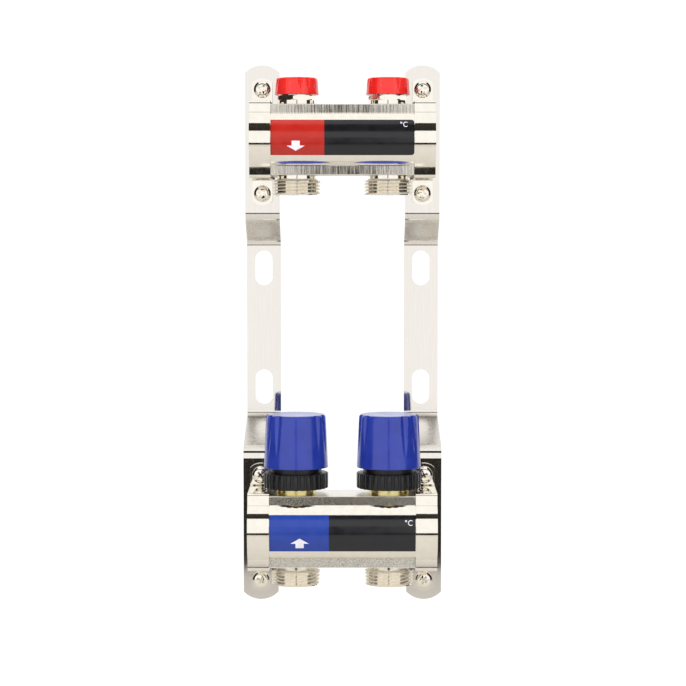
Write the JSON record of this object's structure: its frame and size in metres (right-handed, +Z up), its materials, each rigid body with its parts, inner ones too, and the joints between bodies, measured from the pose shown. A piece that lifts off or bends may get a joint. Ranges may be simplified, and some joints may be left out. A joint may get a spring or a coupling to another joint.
{
  "type": "heating manifold",
  "caption": "Heating manifold: a supply bar with lockshield valves above a return bar with hand wheel valves, clamped to stepped wall brackets.",
  "frame": {"origin": "on the wall plane, midway between the two bars and between the four wall slots", "axes": "+X to the right seen from the front, +Y into the wall, +Z up"},
  "size_m": [0.1088, 0.0981, 0.295],
  "materials": {
    "nickel": "polished nickel plate",
    "nickel_strip": "polished nickel plated strip steel",
    "brass": "polished brass",
    "steel": "turned stainless steel",
    "rubber": "moulded black sealing rubber",
    "red_plastic": "glossy moulded red plastic",
    "blue_plastic": "glossy moulded blue plastic",
    "black_plastic": "satin moulded black plastic",
    "label_film": "glossy printed film"
  },
  "bodies": {
    "manifold": {"left_bracket": "nickel_strip", "right_bracket": "nickel_strip", "supply_bar": "nickel", "supply_label": "label_film", "supply_strap_left": "nickel_strip", "supply_screws_left": "nickel", "supply_nipple_left": "nickel", "supply_strap_right": "nickel_strip", "supply_screws_right": "nickel", "supply_nipple_right": "nickel", "return_bar": "nickel", "return_label": "label_film", "return_strap_left": "nickel_strip", "return_screws_left": "nickel", "return_nipple_left": "nickel", "return_strap_right": "nickel_strip", "return_screws_right": "nickel", "return_nipple_right": "nickel", "lockshield_body_left": "nickel", "valve_insert_left": "brass", "gland_nut_left": "brass", "return_spring_left": "steel", "union_ring_left": "black_plastic", "wheel_carrier_left": "black_plastic", "lockshield_body_right": "nickel", "valve_insert_right": "brass", "gland_nut_right": "brass", "return_spring_right": "steel", "union_ring_right": "black_plastic", "wheel_carrier_right": "black_plastic"},
    "spindle_seal_left": {"spindle_seal_left": "rubber"},
    "regulating_spindle_left": {"regulating_spindle_left": "brass"},
    "cap_gasket_left": {"cap_gasket_left": "rubber"},
    "red_cap_left": {"red_cap_left": "red_plastic"},
    "valve_pin_left": {"valve_pin_left": "steel", "valve_disc_left": "rubber"},
    "hand_wheel_left": {"hand_wheel_left": "blue_plastic"},
    "spindle_seal_right": {"spindle_seal_right": "rubber"},
    "regulating_spindle_right": {"regulating_spindle_right": "brass"},
    "cap_gasket_right": {"cap_gasket_right": "rubber"},
    "red_cap_right": {"red_cap_right": "red_plastic"},
    "valve_pin_right": {"valve_pin_right": "steel", "valve_disc_right": "rubber"},
    "hand_wheel_right": {"hand_wheel_right": "blue_plastic"}
  },
  "joints": [
    {"name": "spindle_travel_left", "type": "slide", "parent": "manifold", "child": "spindle_seal_left", "axis": [0, 0, 1], "range_m": [-0.004, 0]},
    {"name": "spindle_turn_left", "type": "hinge", "parent": "spindle_seal_left", "child": "regulating_spindle_left", "pos_m": [-0.025, -0.043, 0.105], "axis": [0, 0, 1], "range_deg": [-1440, 0]},
    {"name": "cap_travel_left", "type": "slide", "parent": "manifold", "child": "cap_gasket_left", "axis": [0, 0, 1], "range_m": [0, 0.008]},
    {"name": "cap_turn_left", "type": "hinge", "parent": "cap_gasket_left", "child": "red_cap_left", "pos_m": [-0.025, -0.043, 0.105], "axis": [0, 0, 1], "range_deg": [0, 1920]},
    {"name": "pin_travel_left", "type": "slide", "parent": "manifold", "child": "valve_pin_left", "axis": [0, 0, 1], "range_m": [-0.0024, 0], "deforming": ["return_spring_left"]},
    {"name": "wheel_turn_left", "type": "hinge", "parent": "valve_pin_left", "child": "hand_wheel_left", "pos_m": [-0.025, -0.075, -0.105], "axis": [0, 0, 1], "range_deg": [-540, 0]},
    {"name": "spindle_travel_right", "type": "slide", "parent": "manifold", "child": "spindle_seal_right", "axis": [0, 0, 1], "range_m": [-0.004, 0]},
    {"name": "spindle_turn_right", "type": "hinge", "parent": "spindle_seal_right", "child": "regulating_spindle_right", "pos_m": [0.025, -0.043, 0.105], "axis": [0, 0, 1], "range_deg": [-1440, 0]},
    {"name": "cap_travel_right", "type": "slide", "parent": "manifold", "child": "cap_gasket_right", "axis": [0, 0, 1], "range_m": [0, 0.008]},
    {"name": "cap_turn_right", "type": "hinge", "parent": "cap_gasket_right", "child": "red_cap_right", "pos_m": [0.025, -0.043, 0.105], "axis": [0, 0, 1], "range_deg": [0, 1920]},
    {"name": "pin_travel_right", "type": "slide", "parent": "manifold", "child": "valve_pin_right", "axis": [0, 0, 1], "range_m": [-0.0024, 0], "deforming": ["return_spring_right"]},
    {"name": "wheel_turn_right", "type": "hinge", "parent": "valve_pin_right", "child": "hand_wheel_right", "pos_m": [0.025, -0.075, -0.105], "axis": [0, 0, 1], "range_deg": [-540, 0]}
  ],
  "couplings": [
    {"joint": "spindle_travel_left", "follows": "spindle_turn_left", "m_per_rad": 0.00015915},
    {"joint": "cap_travel_left", "follows": "cap_turn_left", "m_per_rad": 0.00023873},
    {"joint": "pin_travel_left", "follows": "wheel_turn_left", "m_per_rad": 0.00025465},
    {"joint": "spindle_travel_right", "follows": "spindle_turn_right", "m_per_rad": 0.00015915},
    {"joint": "cap_travel_right", "follows": "cap_turn_right", "m_per_rad": 0.00023873},
    {"joint": "pin_travel_right", "follows": "wheel_turn_right", "m_per_rad": 0.00025465}
  ]
}
